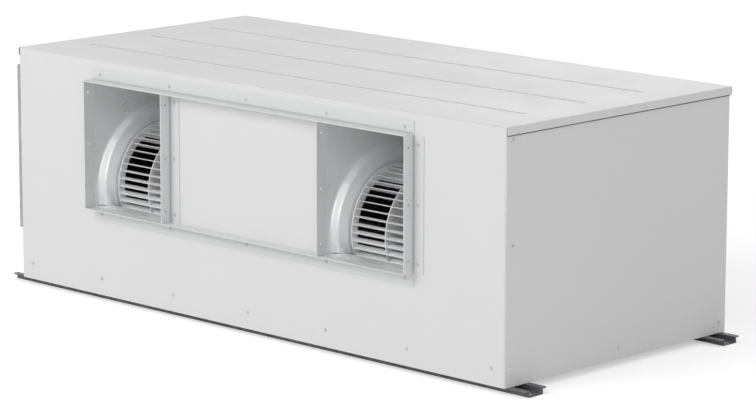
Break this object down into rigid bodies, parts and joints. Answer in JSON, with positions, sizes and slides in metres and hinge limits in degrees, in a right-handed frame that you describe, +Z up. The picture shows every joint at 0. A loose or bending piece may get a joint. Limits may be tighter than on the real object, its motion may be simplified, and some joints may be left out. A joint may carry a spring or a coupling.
{
  "type": "ducted air conditioner indoor unit",
  "caption": "Sheet-steel ducted fan coil: wide casing on hanging rails, centrifugal fan outlets with flanges in front, coil, filters and a flanged return opening behind.",
  "frame": {"origin": "on the floor under the rails, at the middle of the unit's footprint", "axes": "+X along the unit's width, to the right seen from the outlet side; +Y from the outlets to the return opening; +Z up"},
  "size_m": [1.486, 0.718, 0.513],
  "materials": {
    "white_enamel": "smooth semi-gloss powder coat",
    "white_angle": "semi-gloss powder coat on angle bar",
    "galvanised_sheet": "bright galvanised sheet with a soft spangle",
    "box_zinc": "galvanised sheet, dulled",
    "rail_zinc": "dark galvanised, dull",
    "wheel_zinc": "bright galvanised blades",
    "machined_steel": "turned, oiled",
    "motor_paint": "satin dark grey",
    "cast_alloy": "as cast",
    "lamination": "stacked laminations",
    "fin_aluminium": "thin bright fins",
    "copper": "drawn copper, lightly dulled",
    "black_rubber": "matt",
    "pan_plastic": "moulded",
    "spigot_plastic": "moulded",
    "filter_frame": "moulded",
    "filter_cloth": "woven mesh",
    "circuit_green": "lacquered board",
    "terminal_plastic": "moulded",
    "capacitor_can": "drawn can",
    "gland_plastic": "moulded",
    "screw_zinc": "zinc plated",
    "foam": "closed-cell foam"
  },
  "bodies": {
    "casing": {"base_panel": "white_enamel", "roof_panel": "white_enamel", "front_panel": "white_enamel", "rear_panel": "white_enamel", "left_side_panel": "white_enamel", "right_side_panel": "white_enamel", "front_rail": "rail_zinc", "rear_rail": "rail_zinc", "discharge_flange_top": "white_angle", "discharge_flange_bottom": "white_angle", "discharge_upright_left_outer": "white_angle", "discharge_upright_left_inner": "white_angle", "discharge_upright_right_inner": "white_angle", "discharge_upright_right_outer": "white_angle", "return_flange": "white_angle", "left_scroll_wrap": "galvanised_sheet", "left_scroll_outer_side": "galvanised_sheet", "left_scroll_inner_side": "galvanised_sheet", "right_scroll_wrap": "galvanised_sheet", "right_scroll_inner_side": "galvanised_sheet", "right_scroll_outer_side": "galvanised_sheet", "motor_shell": "motor_paint", "motor_end_bell_left": "cast_alloy", "motor_end_bell_right": "cast_alloy", "motor_bearings": "machined_steel", "motor_stator": "lamination", "motor_stand": "galvanised_sheet", "motor_bands": "galvanised_sheet", "coil_fin_pack": "fin_aluminium", "coil_end_plate_left": "galvanised_sheet", "coil_end_plate_right": "galvanised_sheet", "coil_return_bends": "copper", "suction_header": "copper", "liquid_header": "copper", "pipe_grommets": "black_rubber", "drain_pan": "pan_plastic", "drain_spigot": "spigot_plastic", "filter_track_bottom": "galvanised_sheet", "filter_track_top": "galvanised_sheet", "control_box": "box_zinc", "cover_hinge_pin": "machined_steel", "control_board": "circuit_green", "terminal_block": "terminal_plastic", "run_capacitor": "capacitor_can", "cable_glands": "gland_plastic", "casing_screws": "screw_zinc", "flange_screws": "screw_zinc", "roof_insulation": "foam", "side_insulation": "foam"},
    "fan_rotor": {"fan_shaft": "machined_steel", "motor_rotor": "lamination", "left_fan_wheel": "wheel_zinc", "right_fan_wheel": "wheel_zinc", "hub_set_screws": "machined_steel"},
    "box_cover": {"control_cover": "box_zinc", "cover_screws": "screw_zinc"},
    "left_filter": {"left_filter_frame": "filter_frame", "left_filter_mesh": "filter_cloth"},
    "right_filter": {"right_filter_frame": "filter_frame", "right_filter_mesh": "filter_cloth"}
  },
  "joints": [
    {"name": "fan_spin", "type": "hinge", "parent": "casing", "child": "fan_rotor", "pos_m": [0, -0.163, 0.24], "axis": [1, 0, 0], "continuous": true},
    {"name": "cover_hinge", "type": "hinge", "parent": "casing", "child": "box_cover", "pos_m": [-0.735, -0.0995, 0.2905], "axis": [0, 0, -1], "range_deg": [0, 110]},
    {"name": "left_filter_slide", "type": "slide", "parent": "casing", "child": "left_filter", "axis": [-1, 0, 0], "range_m": [0, 0.62]},
    {"name": "right_filter_slide", "type": "slide", "parent": "casing", "child": "right_filter", "axis": [-1, 0, 0], "range_m": [0, 0.62]}
  ],
  "couplings": [
    {"joint": "right_filter_slide", "follows": "left_filter_slide", "ratio": 1}
  ]
}
